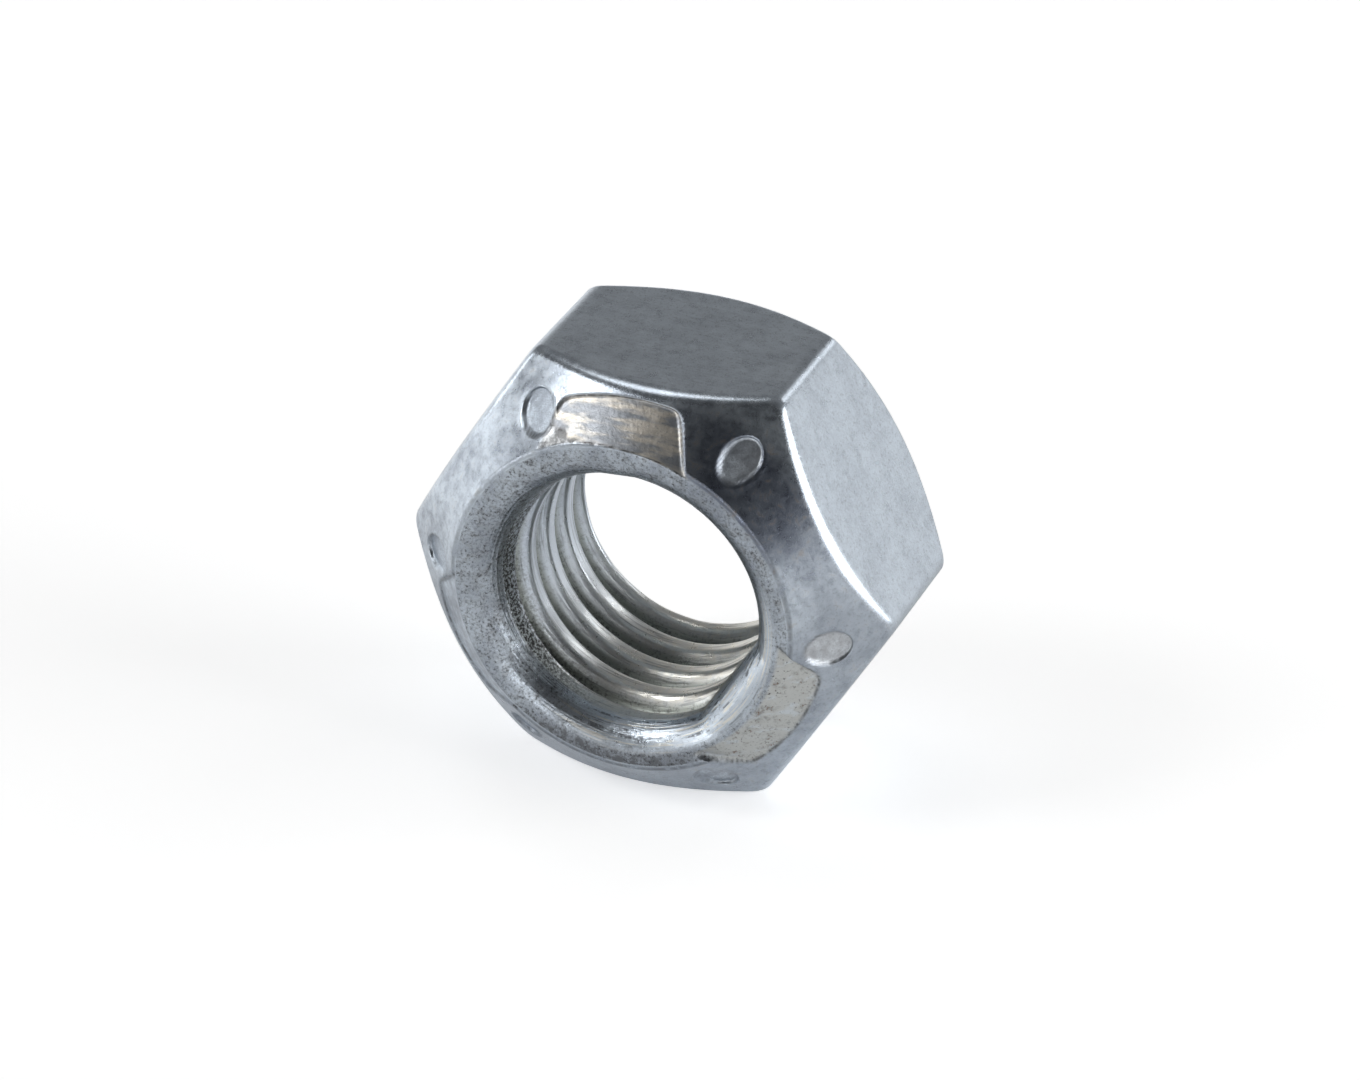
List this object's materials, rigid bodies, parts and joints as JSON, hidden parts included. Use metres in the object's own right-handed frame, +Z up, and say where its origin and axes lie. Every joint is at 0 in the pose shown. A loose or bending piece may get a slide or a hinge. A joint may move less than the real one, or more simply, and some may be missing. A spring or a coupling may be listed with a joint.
{
  "type": "top lock nut",
  "caption": "All-metal hexagon lock nut with a coarse thread. Pressed pads on its conical top squeeze the mouth of the thread, so that it grips the bolt.",
  "frame": {"origin": "middle of the flat that the nut stands on", "axes": "+Z up, from the flat that it stands on to the opposite flat; the thread axis is along Y, the pressed top faces -Y and the bearing face faces +Y; +X to the right, seen from the pressed top"},
  "size_m": [0.0216, 0.011, 0.0189],
  "materials": {
    "zinc_plated_steel": "blue-white zinc plate, satin"
  },
  "bodies": {
    "root": {"lock_nut": "zinc_plated_steel"}
  },
  "joints": []
}
